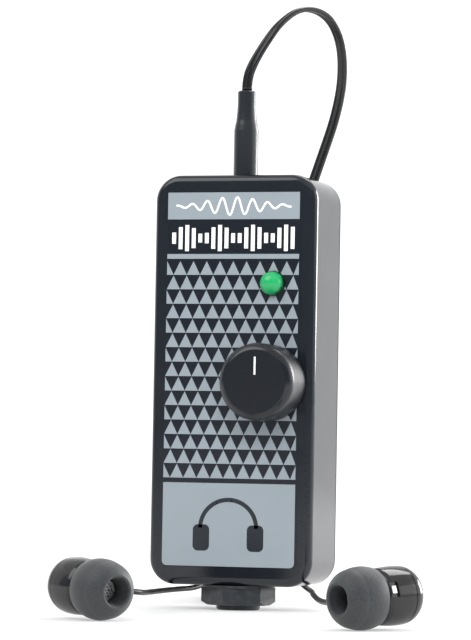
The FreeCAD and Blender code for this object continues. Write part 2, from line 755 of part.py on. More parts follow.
def cord_hank():
    """The outer shape of the folded cord: rounded in section and round at both ends."""
    half = HANK_WIDE / 2
    end = HANK_START + HANK_LONG
    bar = rounded_bar(HANK_START, end, half, HANK_LIFT, HANK_LIFT + HANK_TALL, HANK_ROUND)
    middle = box((-half, HANK_START + half, -1), (half, end - half, HANK_TALL + 2))
    caps = [
        Part.makeCylinder(half, HANK_TALL + 3, V(0, HANK_START + half, -1)),
        Part.makeCylinder(half, HANK_TALL + 3, V(0, end - half, -1)),
    ]
    return lay_behind(bar.common(middle.fuse(caps)))


def hank_tie():
    """The band round the folded cord."""
    half, end = HANK_WIDE / 2, TIE_START + TIE_LONG
    thick = HANK_LIFT
    outer = rounded_bar(
        TIE_START, end, half + thick, 0, HANK_TALL + 2 * thick, HANK_ROUND + thick
    )
    inner = rounded_bar(
        TIE_START - 1, end + 1, half, HANK_LIFT, HANK_LIFT + HANK_TALL, HANK_ROUND
    )
    return lay_behind(outer.cut(inner))


def cord_slider():
    """The small block where the twin cord parts into two leads."""
    low = HANK_LIFT + HANK_TALL
    bar = rounded_bar(
        SLIDER_START, SLIDER_START + SLIDER_LONG, SLIDER_WIDE / 2, low, low + SLIDER_TALL, 1.2
    )
    return lay_behind(bar)


def bud_placement(bud):
    """Where a bud made along +Z lies: its tip then points along its own direction."""
    azimuth, tilt = math.radians(bud["points"]), math.radians(BUD_TILT)
    axis = V(
        math.cos(tilt) * math.cos(azimuth),
        math.cos(tilt) * math.sin(azimuth),
        math.sin(tilt),
    )
    across = V(-math.sin(azimuth), math.cos(azimuth), 0)
    up = axis.cross(across)
    place = FreeCAD.Placement(V(*bud["at"], BUD_HEIGHT), FreeCAD.Rotation(across, up, axis, "ZXY"))
    return place


def placed(shape, place):
    moved = shape.copy()
    moved.Placement = place.multiply(moved.Placement)
    return moved


def ear_tip():
    """A soft tip: a thin round umbrella folded back over a sleeve with a flared mouth."""
    return arc_profile([
        [(NOZZLE_R, -2.7), (3.05, -2.7)],
        [(3.05, -2.7), (3.05, 2.7)],
        [(3.05, 2.7), (4.6, 1.9), (5.35, 0.0)],
        [(5.35, 0.0), (5.1, -2.75)],
        [(5.1, -2.75), (5.6, -2.75)],
        [(5.6, -2.75), (BUD_TIP_R, -0.4), (5.62, 2.1)],
        [(5.62, 2.1), (4.85, 4.0), (3.55, 5.15)],
        [(3.55, 5.15), (3.1, 5.3), (2.75, 4.8)],
        [(2.75, 4.8), (NOZZLE_R, 1.6)],
        [(NOZZLE_R, 1.6), (NOZZLE_R, -2.7)],
    ])


def bud_nozzle():
    """The sound tube that the tip's sleeve is pushed over."""
    return revolve([
        (NOZZLE_BORE_R, -3.8), (NOZZLE_R, -3.8), (NOZZLE_R, 1.6), (NOZZLE_BORE_R, 1.6)
    ])


def bud_grille():
    """The perforated disc at the mouth of the sound tube."""
    disc = Part.makeCylinder(NOZZLE_BORE_R, 0.25, V(0, 0, 1.1))
    holes = [Part.makeCylinder(0.16, 1, V(0, 0, 0.8))]
    for ring in (1, 2):
        for i in range(6 * ring):
            a = math.radians(60 / ring * i)
            radius = 0.7 * ring
            holes.append(
                Part.makeCylinder(0.16, 1, V(radius * math.cos(a), radius * math.sin(a), 0.8))
            )
    return disc.cut(holes)


HOUSING_BACK = -9.4


def bud_housing():
    """The front half of the bud's body, hollow, with a round shoulder."""
    return arc_profile([
        [(NOZZLE_R, -2.9), (3.4, -2.9)],
        [(3.4, -2.9), (4.85, -3.35), (5.45, -4.7)],
        [(5.45, -4.7), (BUD_HOUSING_R, -7.2), (BUD_HOUSING_R - 0.05, HOUSING_BACK)],
        [(BUD_HOUSING_R - 0.05, HOUSING_BACK), (4.9, HOUSING_BACK)],
        [(4.9, HOUSING_BACK), (4.7, -4.9)],
        [(4.7, -4.9), (NOZZLE_R, -3.8)],
        [(NOZZLE_R, -3.8), (NOZZLE_R, -2.9)],
    ])


def mark_block(inner, outer, half_tall, front, back):
    """A block on the housing's shoulder, a little above its middle, in the bud's frame."""
    block = box((inner, -half_tall, back), (outer, half_tall, front))
    block.rotate(V(0, 0, 0), V(0, 0, 1), MARK_TURN)
    return block


def marked_housing():
    """The right housing, with the recess that holds its side mark."""
    return bud_housing().cut(mark_block(MARK_FLOOR, 7.0, 1.5, -3.7, -5.3))


def bud_cap():
    """The domed back of the bud, a seam's width behind the housing."""
    seam = HOUSING_BACK - BUD_SEAM
    return arc_profile([
        [(4.7, HOUSING_BACK), (SEAM_R, HOUSING_BACK)],
        [(SEAM_R, HOUSING_BACK), (SEAM_R, seam)],
        [(SEAM_R, seam), (5.55, seam)],
        [(5.55, seam), (4.75, -11.6), (2.6, -12.8)],
        [(2.6, -12.8), (1.9, -13.02), (1.0, -13.1)],
        [(1.0, -13.1), (0, -13.1)],
        [(0, -13.1), (0, -12.3)],
        [(0, -12.3), (1.2, -12.3)],
        [(1.2, -12.3), (3.6, -11.5), (4.7, HOUSING_BACK)],
    ])


def bud_driver():
    """The driver capsule inside the bud."""
    return revolve([(0, -8.8), (4.3, -8.8), (4.3, -7.0), (3.6, -6.6), (0, -6.6)])


def bud_relief(side):
    """The ribbed, tapered sleeve where the lead leaves the bud sideways."""
    inner = BUD_HOUSING_R - RELIEF_SUNK
    sleeve = Part.makeCone(1.55, 1.0, RELIEF_LONG, V(side * inner, 0, BUD_EXIT_U), V(side, 0, 0))
    ribs = []
    for i in range(3):
        x = side * (inner + 1.7 + 1.1 * i)
        ring = Part.makeCylinder(2.5, 0.35, V(x, 0, BUD_EXIT_U), V(side, 0, 0))
        ribs.append(ring.cut(Part.makeCylinder(0.9, 2, V(x - side, 0, BUD_EXIT_U), V(side, 0, 0))))
    sleeve = sleeve.cut(ribs)
    sleeve.rotate(V(0, 0, 0), V(0, 0, 1), -side * RELIEF_DROP)
    return sleeve.cut(
        arc_profile([
            [(0, -4.7), (5.45, -4.7)],
            [(5.45, -4.7), (BUD_HOUSING_R, -7.2), (BUD_HOUSING_R - 0.05, HOUSING_BACK)],
            [(BUD_HOUSING_R - 0.05, HOUSING_BACK), (0, HOUSING_BACK)],
            [(0, HOUSING_BACK), (0, -4.7)],
        ])
    )


def side_mark():
    """The small pale bar in the recess of the right bud's housing."""
    return mark_block(MARK_FLOOR, MARK_FLOOR + 0.2, 0.7, -4.05, -4.95)


def lead_start(side):
    """The lead's first two points, straight out of the slider."""
    middle = HANK_LIFT + HANK_TALL + SLIDER_TALL / 2
    distances = (SLIDER_START, SLIDER_START - LEAD_STRAIGHT)
    return [(*behind(distance, side * LEAD_APART), middle) for distance in distances]


def lead_end(place, side):
    """The lead's last two points, straight into the end of its relief."""
    tip = BUD_HOUSING_R - RELIEF_SUNK + RELIEF_LONG
    drop = math.radians(RELIEF_DROP)
    ends = [
        V(side * reach * math.cos(drop), -reach * math.sin(drop), BUD_EXIT_U)
        for reach in (tip + LEAD_STRAIGHT, tip)
    ]
    return [tuple(place.multVec(end)) for end in ends]


PIECES = [
    front_shell,
    back_cover,
    cover_screws,
    front_label,
    volume_knob,
    knob_pointer,
    pot_shaft,
    pot_wiper,
    pot_body,
    pot_bushing,
    pot_nut,
    pot_washer,
    pot_pins,
    status_led,
    led_legs,
    input_jack_body,
    input_jack_bushing,
    input_jack_nut,
    input_jack_washer,
    input_tip_spring,
    input_terminals,
    phones_jack_body,
    phones_jack_contacts,
    circuit_board,
    board_screws,
    amplifier_chip,
    capacitors,
    resistors,
    battery,
    battery_holder,
    battery_plus_plate,
    battery_minus_leaf,
    plug_overmould,
    plug_sleeve,
    plug_insulators,
    plug_ring,
    plug_tip,
    cord_hank,
    hank_tie,
    cord_slider,
]

os.makedirs("parts", exist_ok=True)

for piece in PIECES:
    save(piece.__name__, piece())

save("main_cord", routed_tube("main_cord", CORD_ROUTE, CORD_D))

for name, bud in BUDS.items():
    place = bud_placement(bud)
    side = bud["cord_side"]
    save(name + "_ear_tip", placed(ear_tip(), place))
    save(name + "_bud_nozzle", placed(bud_nozzle(), place))
    save(name + "_bud_grille", placed(bud_grille(), place))
    housing = marked_housing() if name == "right" else bud_housing()
    save(name + "_bud_housing", placed(housing, place))
    save(name + "_bud_cap", placed(bud_cap(), place))
    save(name + "_bud_driver", placed(bud_driver(), place))
    save(name + "_bud_relief", placed(bud_relief(side), place))
    route = lead_start(-side) + bud["route"] + lead_end(place, side)
    save(name + "_lead", routed_tube(name + "_lead", route, LEAD_D))

save("side_mark", placed(side_mark(), bud_placement(BUDS["right"])))
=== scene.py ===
import math
import random

import bmesh
import bpy
from mathutils import Matrix, Vector


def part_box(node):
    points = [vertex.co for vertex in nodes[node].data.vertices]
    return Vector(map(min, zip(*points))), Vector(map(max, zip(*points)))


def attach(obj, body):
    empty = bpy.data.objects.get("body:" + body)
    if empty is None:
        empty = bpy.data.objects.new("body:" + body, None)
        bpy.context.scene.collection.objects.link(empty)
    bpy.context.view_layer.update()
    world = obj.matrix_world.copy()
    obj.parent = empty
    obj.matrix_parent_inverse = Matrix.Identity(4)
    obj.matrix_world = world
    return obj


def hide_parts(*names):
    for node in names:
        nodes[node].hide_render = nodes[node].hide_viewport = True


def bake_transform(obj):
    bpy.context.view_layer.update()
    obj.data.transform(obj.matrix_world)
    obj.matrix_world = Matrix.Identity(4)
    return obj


# The looks of a pocket headphone amplifier with its earphones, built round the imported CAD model.
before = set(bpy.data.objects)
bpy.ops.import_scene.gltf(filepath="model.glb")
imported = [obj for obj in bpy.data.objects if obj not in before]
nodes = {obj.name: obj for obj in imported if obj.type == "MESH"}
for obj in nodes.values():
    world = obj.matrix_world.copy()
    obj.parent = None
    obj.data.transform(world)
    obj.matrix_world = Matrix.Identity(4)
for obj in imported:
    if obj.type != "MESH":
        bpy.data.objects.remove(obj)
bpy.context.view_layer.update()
scene = bpy.context.scene
MM = 0.001

# ---------------------------------------------------------------- camera
YAW, PITCH, ROLL = math.radians(16.85), math.radians(2.37), math.radians(1.0)
CAMERA_AT = (201.4, -670.5, 32.0)
LENS, SENSOR = 186.6, 36

# ---------------------------------------------------------------- cords, in millimetres
SIGHT = (-0.2896, 0.9571)  # the way that runs straight behind the case, seen from the camera
STRAND_RADIUS, STRAND_OFFSET = 0.57, 0.53
LEAD_WIDE = 1.15
CORD_ROUTE = [
    (0.0, 0.0, 109.5),
    (0.0, 0.0, 112.2),
    (1.1, 0.2, 115.3),
    (3.1, 1.1, 119.2),
    (5.8, 3.7, 124.4),
    (9.2, 9.2, 128.5),
    (13.2, 15.2, 127.6),
    (15.2, 19.6, 122.4),
    (15.0, 22.3, 114.5),
    (13.3, 23.0, 106.3),
    (10.6, 22.6, 98.0),
    (7.5, 22.0, 88.5),
    (3.0, 23.2, 74.0),
    (-2.0, 27.0, 56.0),
    (-7.2, 33.0, 38.0),
    (-11.6, 39.6, 24.0),
    (-12.74, 42.1, 15.0),
    (-12.74, 42.1, 8.1),
]
LEFT_ROUTE = [
    (-9.257, 26.451, 9.6),
    (-7.925, 22.049, 9.6),
    (-10.4, 18.0, 6.2),
    (-12.4, 11.0, 3.9),
    (-13.6, 1.5, 3.9),
    (-13.6, -8.5, 3.95),
    (-12.2, -18.5, 4.1),
    (-10.2, -28.5, 4.35),
    (-8.4, -37.5, 4.6),
    (-6.27, -45.81, 4.97),
    (-8.92, -49.55, 5.41),
]
RIGHT_ROUTE = [
    (-6.960, 27.146, 9.6),
    (-5.628, 22.744, 9.6),
    (-1.6, 19.6, 8.4),
    (3.4, 18.8, 7.2),
    (8.0, 17.6, 5.8),
    (11.4, 13.9, 4.1),
    (13.8, 8.6, 3.8),
    (16.6, -1.4, 3.9),
    (19.6, -11.8, 4.1),
    (22.8, -22.2, 4.2),
    (26.2, -32.2, 4.0),
    (30.0, -41.6, 3.9),
    (33.4, -48.2, 4.3),
    (36.30, -52.89, 4.97),
    (39.98, -55.61, 5.41),
]
# the folded cord, as (distance behind the jacks, across, height), where it goes in and comes out
HANK_START = [
    (44.2, 0.0, 5.0),
    (46.0, -0.2, 2.3),
    (49.6, -1.0, 1.5),
    (54.0, -2.3, 1.75),
    (58.5, -3.3, 1.7),
]
HANK_END = [
    (58.5, 5.75, 6.3),
    (53.5, 5.3, 6.5),
    (48.5, 3.9, 7.4),
    (44.0, 1.8, 8.9),
    (40.5, 0.3, 9.6),
    (37.0, 0.0, 9.6),
]
# its three rings from outside to inside: how far across they run, and where each steps to the next turn
RING_ACROSS = (5.85, 4.65, 3.45)
RING_STEPS = ((26.0, 33.0), (33.0, 41.0), (41.0, 49.0))
# its turns in the order in which they are wound, as (ring, layer)
TURNS = [(2, 0), (2, 1), (2, 2), (1, 2), (1, 1), (1, 0), (0, 0), (0, 1), (0, 2)]
NEAR_END, FAR_END = 30.5, 61.5
FOLD_ANGLES = (-72, -36, 0, 36, 72)
FOLD_BULGE = 1.05
LAYERS_LOOSE = (1.3, 3.9, 6.6)
LAYERS_TIED = (1.75, 4.0, 6.3)
TIE_AT, TIE_REACH = 55.5, 14


def set_camera():
    """The camera at the photograph's angle: right of the front, low and looking slightly up."""
    level = Vector((-math.sin(YAW), math.cos(YAW), 0))
    across = Vector((math.cos(YAW), math.sin(YAW), 0))
    upward = Vector((0, 0, 1))
    look = math.cos(PITCH) * level + math.sin(PITCH) * upward
    steep = -math.sin(PITCH) * level + math.cos(PITCH) * upward
    right = math.cos(ROLL) * across + math.sin(ROLL) * steep
    top = -math.sin(ROLL) * across + math.cos(ROLL) * steep
    data = bpy.data.cameras.new("camera")
    data.lens = LENS
    data.sensor_width = SENSOR
    data.clip_start, data.clip_end = 0.05, 50
    camera = bpy.data.objects.new("camera", data)
    turned = Matrix((right, top, -look)).transposed().to_4x4()
    camera.matrix_world = Matrix.Translation(Vector(CAMERA_AT) * MM) @ turned
    scene.collection.objects.link(camera)
    scene.camera = camera


set_camera()


def route_curve(name, route, radius=0.0, resolution=8):
    """One smooth NURBS curve with the route as its control points."""
    data = bpy.data.curves.new(name, "CURVE")
    data.dimensions = "3D"
    data.resolution_u = resolution
    spline = data.splines.new("NURBS")
    spline.points.add(len(route) - 1)
    for point, place in zip(spline.points, route):
        point.co = (*(c * MM for c in place), 1.0)
    spline.order_u = 3
    spline.use_endpoint_u = True
    if radius:
        for point in spline.points:
            point.radius = radius * MM
        data.bevel_depth = 1.0  # times the radius of each point
        data.bevel_resolution = 6
        data.use_fill_caps = True
    curve = bpy.data.objects.new(name, data)
    scene.collection.objects.link(curve)
    return curve


def behind(distance, across, height):
    """A place along the line that runs straight behind the case."""
    return (
        SIGHT[0] * distance + SIGHT[1] * across,
        SIGHT[1] * distance - SIGHT[0] * across,
        height,
    )


def smooth_step(x):
    """Goes from 0 to 1 with a soft start and end."""
    x = max(0.0, min(1.0, x))
    return x * x * (3 - 2 * x)


def layer_height(layer, distance):
    """How high a layer of the hank lies: pressed together under the tie, loose at both ends."""
    tied = 1 - smooth_step(abs(distance - TIE_AT) / TIE_REACH)
    return LAYERS_TIED[layer] * tied + LAYERS_LOOSE[layer] * (1 - tied)


def fold(end, outward, side):
    """Places round one fold, as (distance, across), from one run of the ring to its other run."""
    wide = side * FOLD_BULGE
    for angle in FOLD_ANGLES:
        a = math.radians(angle)
        yield end + outward * wide * math.cos(a), outward * wide * math.sin(a)


def hank_points():
    """The folded cord's control points: three rings of turns, inside to outside."""
    dice = random.Random(4)
    found = list(HANK_START)
    for turn, (ring, layer) in enumerate(TURNS):
        side = RING_ACROSS[ring]
        loose = dice.uniform(0.0, 0.5)
        for at, across in fold(FAR_END + 0.4 * loose, 1, side):
            found.append((at, across, layer_height(layer, at) + dice.uniform(-0.15, 0.15)))
        if turn == len(TURNS) - 1:
            break
        for at in (59.0, 53.0, 46.5, 40.0, 34.0):
            found.append((at, side + dice.uniform(-0.1, 0.1), layer_height(layer, at)))
        for at, across in fold(NEAR_END - loose, -1, side):
            found.append((at, across, layer_height(layer, at) + dice.uniform(-0.2, 0.2)))
        next_ring, next_layer = TURNS[turn + 1]
        low, high = RING_STEPS[ring]
        for at in (29.5, 35.5, 41.5, 47.5, 53.0, 58.5):
            share = smooth_step((at - low) / (high - low))
            across = side + (RING_ACROSS[next_ring] - side) * share
            height = layer_height(layer, at) * (1 - share) + layer_height(next_layer, at) * share
            found.append((at, -across + dice.uniform(-0.06, 0.06), height))
    return found + HANK_END


HANK = hank_points()
ACROSS_VIEW = Vector((math.cos(YAW), math.sin(YAW), 0))
ACROSS_HANK = Vector((SIGHT[1], -SIGHT[0], 0))
UPRIGHT = Vector((0, 0, 1))
HANK_FROM = len(CORD_ROUTE)
HANK_TO = HANK_FROM + len(HANK)
# which way the twin cord's wide side lies, at these control points
WIDE_KEYS = [
    (0, ACROSS_VIEW),
    (3, Vector((0.90, -0.2, 0))),
    (4.5, Vector((0.83, -0.55, 0))),
    (6, Vector((0.90, -0.2, 0))),
    (9, ACROSS_VIEW),
    (HANK_FROM - 3, ACROSS_HANK),
    (HANK_FROM + 2, ACROSS_HANK),
    (HANK_FROM + 7, UPRIGHT),
    (HANK_TO - 6, UPRIGHT),
    (HANK_TO - 2, -ACROSS_HANK),
    (HANK_TO, -ACROSS_HANK),
]


def wide_side(index):
    """Which way the twin cord's wide side lies at a place between two control points."""
    for (a, va), (b, vb) in zip(WIDE_KEYS, WIDE_KEYS[1:]):
        if index <= b:
            return va.lerp(vb, smooth_step((index - a) / (b - a))).normalized()
    return WIDE_KEYS[-1][1]


def piece_from(name, shape):
    """Makes an object from a finished shape."""
    mesh = bpy.data.meshes.new(name)
    shape.to_mesh(mesh)
    shape.free()
    piece = bpy.data.objects.new(name, mesh)
    scene.collection.objects.link(piece)
    return piece


def line_of(curve):
    """The points of a curve's own NURBS line."""
    mesh = bpy.data.meshes.new_from_object(curve)
    line = [v.co.copy() for v in mesh.vertices]
    bpy.data.meshes.remove(mesh)
    return line


def twin_section():
    """The outline of two round strands moulded side by side."""
    meet = math.acos(-STRAND_OFFSET / STRAND_RADIUS)
    right = []
    for step in range(13):
        a = -meet + 2 * meet * step / 12
        right.append((STRAND_OFFSET + STRAND_RADIUS * math.cos(a), STRAND_RADIUS * math.sin(a)))
    left = [(-x, -y) for x, y in right]
    return right[:-1] + left[:-1]


def twin_cord(name, line, controls):
    """A mesh tube with the twin section along the line."""
    section = twin_section()
    shape = bmesh.new()
    rings, wide_before = [], None
    for i, place in enumerate(line):
        ahead = line[min(i + 1, len(line) - 1)] - line[max(i - 1, 0)]
        along = ahead.normalized()
        wide = wide_side(0.5 + i / (len(line) - 1) * (controls - 2))
        wide = (wide - along * wide.dot(along)).normalized()
        if wide_before is not None and wide.dot(wide_before) < 0:
            wide = -wide
        wide_before = wide
        thick = along.cross(wide)
        rings.append([shape.verts.new(place + (wide * x + thick * y) * MM) for x, y in section])
    count = len(section)
    for a, b in zip(rings, rings[1:]):
        for i in range(count):
            shape.faces.new((a[i], a[(i + 1) % count], b[(i + 1) % count], b[i]))
    shape.faces.new(list(reversed(rings[0])))
    shape.faces.new(rings[-1])
    bmesh.ops.recalc_face_normals(shape, faces=shape.faces)
    piece = piece_from(name, shape)
    piece.data.shade_smooth()
    return piece


def make_main_cord():
    """The twin cord, from its plug up over the loop, down behind the case and into the hank."""
    route = CORD_ROUTE + [behind(*p) for p in HANK]
    guide = route_curve("cord_guide", route, resolution=6)
    line = line_of(guide)
    bpy.data.objects.remove(guide)
    main = twin_cord("twin_cord", line, len(route))
    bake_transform(main)
    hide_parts("main_cord", "cord_hank")
    return main


def make_lead(side, route):
    """One round lead, from the slider to its earbud."""
    lead = route_curve(side + "_lead_wire", route, radius=LEAD_WIDE / 2, resolution=14)
    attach(lead, "root")
    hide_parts(side + "_lead")
    bud = [n for n in nodes if n.startswith(side + "_") and n != side + "_lead"]
    if side == "right":
        bud.append("side_mark")
    return lead


main_cord = make_main_cord()
left_lead = make_lead("left", LEFT_ROUTE)
right_lead = make_lead("right", RIGHT_ROUTE)


# ---------------------------------------------------------------- materials
def node_tree(name):
    """A new material, its node tree and its main shader."""
    material = bpy.data.materials.new(name)
    material.use_nodes = True
    tree = material.node_tree
    shader = tree.nodes["Principled BSDF"]
    return material, tree, shader


def add_node(tree, kind, inputs=(), **settings):
    """A new node, with each input set to a value or joined to a socket."""
    node = tree.nodes.new(kind)
    for key, value in settings.items():
        setattr(node, key, value)
    for key, value in dict(inputs).items():
        if isinstance(value, bpy.types.NodeSocket):
            tree.links.new(value, node.inputs[key])
        else:
            node.inputs[key].default_value = value
    return node


def ranged(tree, value, low, high, start=0.3, end=0.7):
    """Carries a value from between start and end to between low and high."""
    node = add_node(
        tree, "ShaderNodeMapRange",
        {"Value": value, "From Min": start, "From Max": end, "To Min": low, "To Max": high},
    )
    return node.outputs["Result"]


def mix(tree, share, first, second):
    """Blends from the first colour to the second."""
    return add_node(
        tree, "ShaderNodeMix", {"Factor": share, 6: first, 7: second}, data_type="RGBA"
    ).outputs[2]


def multiply(tree, a, b):
    return add_node(tree, "ShaderNodeMath", {0: a, 1: b}, operation="MULTIPLY").outputs[0]


def geometry(tree, what):
    """A value of the surface at the shaded place, such as its normal."""
    return add_node(tree, "ShaderNodeNewGeometry").outputs[what]


def facing(tree, direction):
    """How far the surface faces a direction: 1 straight at it, 0 edge on."""
    return add_node(
        tree, "ShaderNodeVectorMath", {0: geometry(tree, "Normal"), 1: direction},
        operation="DOT_PRODUCT",
    ).outputs["Value"]


def rough_up(tree, shader, height, depth):
    """Puts a relief this many millimetres deep on the surface."""
    bump = add_node(
        tree, "ShaderNodeBump", {"Height": height, "Strength": 1.0, "Distance": depth * MM}
    )
    tree.links.new(bump.outputs["Normal"], shader.inputs["Normal"])


def noise_at(tree, places, per_mm, detail=3.0, rough=0.5, stretch=None):
    """Noise with about this many features to a millimetre."""
    if stretch:
        places = add_node(
            tree, "ShaderNodeMapping", {"Vector": places, "Scale": stretch}
        ).outputs["Vector"]
    return add_node(
        tree, "ShaderNodeTexNoise",
        {"Vector": places, "Scale": per_mm * 1000, "Detail": detail, "Roughness": rough},
    ).outputs["Fac"]


def surface(
    name, colour, rough, grain=6.0, depth=0.004, patch=0.12, vary=0.12, rough_vary=0.05,
    wear=None, stretch=None, **sockets
):
    """A moulded, painted or plated surface: uneven colour and gloss, fine grain, any worn edges."""
    material, tree, shader = node_tree(name)
    places = add_node(tree, "ShaderNodeTexCoord").outputs["Object"]
    cloud = noise_at(tree, places, patch, detail=4.0, stretch=stretch)
    fine = noise_at(tree, places, grain, detail=3.0, stretch=stretch)
    dark = tuple(c * (1 - vary) for c in colour)
    light = tuple(min(1.0, c * (1 + vary)) for c in colour)
    mixed = mix(tree, cloud, (*dark, 1), (*light, 1))
    gloss = ranged(tree, cloud, rough - rough_vary, rough + rough_vary)
    if wear:
        worn = ranged(tree, geometry(tree, "Pointiness"), 0.0, 1.0, 0.52, 0.60)
        patchy = ranged(tree, noise_at(tree, places, 0.7, detail=5.0), 0.0, 0.5, 0.45, 0.7)
        mixed = mix(tree, multiply(tree, worn, patchy), mixed, (*wear, 1))
    tree.links.new(mixed, shader.inputs["Base Color"])
    tree.links.new(gloss, shader.inputs["Roughness"])
    rough_up(tree, shader, fine, depth)
    for key, value in sockets.items():
        shader.inputs[key.replace("_", " ")].default_value = value
    return material


def woven(name, colour, rough, per_mm, depth):
    """A hook-and-loop band: crossed waves with fuzz."""
    material, tree, shader = node_tree(name)
    places = add_node(tree, "ShaderNodeTexCoord").outputs["Object"]
    waves = []
    for direction in ("X", "Z"):
        wave = add_node(
            tree, "ShaderNodeTexWave",
            {"Vector": places, "Scale": per_mm * 1000 / 6.28, "Distortion": 1.5},
            bands_direction=direction,
        )
        waves.append(wave.outputs["Fac"])
    cross = multiply(tree, *waves)
    fuzz = noise_at(tree, places, 4.0, detail=6.0, rough=0.7)
    height = add_node(tree, "ShaderNodeMath", {0: cross, 1: fuzz}, operation="ADD").outputs[0]
    dark = tuple(c * 0.5 for c in colour)
    mixed = mix(tree, fuzz, (*dark, 1), (*colour, 1))
    tree.links.new(mixed, shader.inputs["Base Color"])
    tree.links.new(ranged(tree, fuzz, rough - 0.08, rough), shader.inputs["Roughness"])
    rough_up(tree, shader, height, depth)
    return material


case_gloss = surface(
    "case_gloss", (0.008, 0.010, 0.014), 0.13, grain=1.4, depth=0.006, rough_vary=0.03,
    IOR=1.5,
)
film_gloss = surface(
    "film_gloss", (0.006, 0.008, 0.013), 0.16, grain=2.0, depth=0.003, rough_vary=0.03, IOR=1.5
)
ink_grey = surface(
    "ink_grey", (0.25, 0.29, 0.32), 0.38, grain=9.0, depth=0.003, vary=0.05, rough_vary=0.05
)
ink_white = surface(
    "ink_white", (0.88, 0.89, 0.90), 0.4, grain=9.0, depth=0.003, vary=0.03, rough_vary=0.05
)
ink_dark = surface(
    "ink_dark", (0.012, 0.016, 0.022), 0.3, grain=9.0, depth=0.003, vary=0.1, rough_vary=0.05
)


def knob_finish():
    """Smooth on the face and satin round the side."""
    material = surface(
        "knob_satin", (0.006, 0.007, 0.010), 0.17, grain=7.0, depth=0.003, IOR=1.5
    )
    tree = material.node_tree
    shader = tree.nodes["Principled BSDF"]
    forward = facing(tree, (0, -1, 0))
    tree.links.new(ranged(tree, forward, 0.33, 0.17, 0.2, 0.95), shader.inputs["Roughness"])
    return material


knob_satin = knob_finish()
pointer_white = surface(
    "pointer_white_paint", (0.86, 0.87, 0.88), 0.42, grain=6.0, depth=0.006, vary=0.05
)
jack_black = surface(
    "jack_black", (0.022, 0.025, 0.029), 0.42, grain=3.0, depth=0.010, vary=0.2,
    rough_vary=0.06, wear=(0.06, 0.063, 0.067), Specular_IOR_Level=0.32,
)
steel = surface(
    "plain_steel", (0.55, 0.55, 0.56), 0.3, grain=3.0, depth=0.006, vary=0.08,
    stretch=(1, 1, 12), Metallic=1.0,
)
black_steel = surface(
    "black_steel", (0.05, 0.05, 0.053), 0.36, grain=4.0, depth=0.01, vary=0.2,
    wear=(0.3, 0.3, 0.3), Metallic=0.8,
)
plain_black = surface("plain_black", (0.018, 0.018, 0.02), 0.45, grain=5.0, depth=0.01)
nylon = surface("nylon", (0.62, 0.6, 0.53), 0.4, grain=3.0, depth=0.01)
tinned = surface(
    "tinned", (0.7, 0.7, 0.69), 0.22, grain=4.0, depth=0.01, vary=0.1, Metallic=1.0
)
board_green = surface(
    "board_green", (0.012, 0.11, 0.04), 0.3, grain=2.5, depth=0.012, vary=0.25
)
cell_wrap = surface("cell_wrap_film", (0.05, 0.06, 0.08), 0.25, grain=1.0, depth=0.01)
grip_rubber = surface(
    "grip_rubber", (0.010, 0.012, 0.015), 0.32, grain=7.0, depth=0.008, rough_vary=0.06
)
gold_plate = surface(
    "gold_plate", (0.78, 0.55, 0.22), 0.18, grain=3.0, depth=0.004, vary=0.05, Metallic=1.0
)
cord_black = surface(
    "cord_black", (0.008, 0.008, 0.008), 0.2, grain=1.5, depth=0.004, rough_vary=0.04,
    patch=0.4,
)
lead_black = surface(
    "lead_black", (0.008, 0.006, 0.005), 0.4, grain=2.0, depth=0.004, rough_vary=0.05,
    patch=0.4, Specular_IOR_Level=0.25,
)
band_black = woven("band_black", (0.022, 0.022, 0.024), 0.9, 2.2, 0.12)


def middle_of(node):
    """The middle of a CAD node's box, in metres."""
    low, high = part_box(node)
    return (low + high) / 2


# painted shade in the ear tip's bore: near-black inside the first radius, fading out by the second
BORE_SHADE_TO, BORE_UNSHADED_FROM = 2.2, 2.6  # off the bud's own axis


def tip_silicone(side):
    """Dusty silicone with fine mottling, with painted shade darkening the tip's bore."""
    material = surface(
        side + "_silicone", (0.027, 0.030, 0.033), 0.55, grain=4.0, depth=0.06, patch=3.0,
        vary=0.95, rough_vary=0.08, Sheen_Weight=0.12, Sheen_Roughness=0.45,
    )
    tree = material.node_tree
    shader = tree.nodes["Principled BSDF"]
    mouth = middle_of(side + "_bud_grille")
    along = (mouth - middle_of(side + "_bud_nozzle")).normalized()
    from_mouth = add_node(
        tree, "ShaderNodeVectorMath", {0: geometry(tree, "Position"), 1: tuple(mouth)},
        operation="SUBTRACT",
    ).outputs["Vector"]
    crossed = add_node(
        tree, "ShaderNodeVectorMath", {0: from_mouth, 1: tuple(along)}, operation="CROSS_PRODUCT"
    ).outputs["Vector"]
    off_axis = add_node(
        tree, "ShaderNodeVectorMath", {0: crossed}, operation="LENGTH"
    ).outputs["Value"]
    outside = ranged(tree, off_axis, 0.0, 1.0, BORE_SHADE_TO * MM, BORE_UNSHADED_FROM * MM)
    plain = shader.inputs["Base Color"].links[0].from_socket
    # painted shade: near-black in the bore, blending into the plain silicone outside it
    mixed = mix(tree, outside, (0.004, 0.004, 0.004, 1), plain)
    tree.links.new(mixed, shader.inputs["Base Color"])
    return material


left_silicone = tip_silicone("left")
right_silicone = tip_silicone("right")
bud_gloss = surface(
    "bud_black", (0.011, 0.011, 0.012), 0.12, grain=1.6, depth=0.004, rough_vary=0.04,
    wear=(0.04, 0.04, 0.042),
)
grille_steel = surface(
    "grille_silver", (0.6, 0.6, 0.6), 0.28, grain=5.0, depth=0.006, Metallic=1.0
)
mark_white = surface("mark_white", (0.85, 0.86, 0.88), 0.3, grain=5.0, depth=0.004, vary=0.03)
chip_grey = surface("chip_grey", (0.03, 0.03, 0.033), 0.5, grain=6.0, depth=0.02)
can_blue = surface("can_blue", (0.03, 0.04, 0.12), 0.3, grain=2.0, depth=0.006)
ceramic = surface("ceramic", (0.05, 0.045, 0.05), 0.35, grain=5.0, depth=0.01)


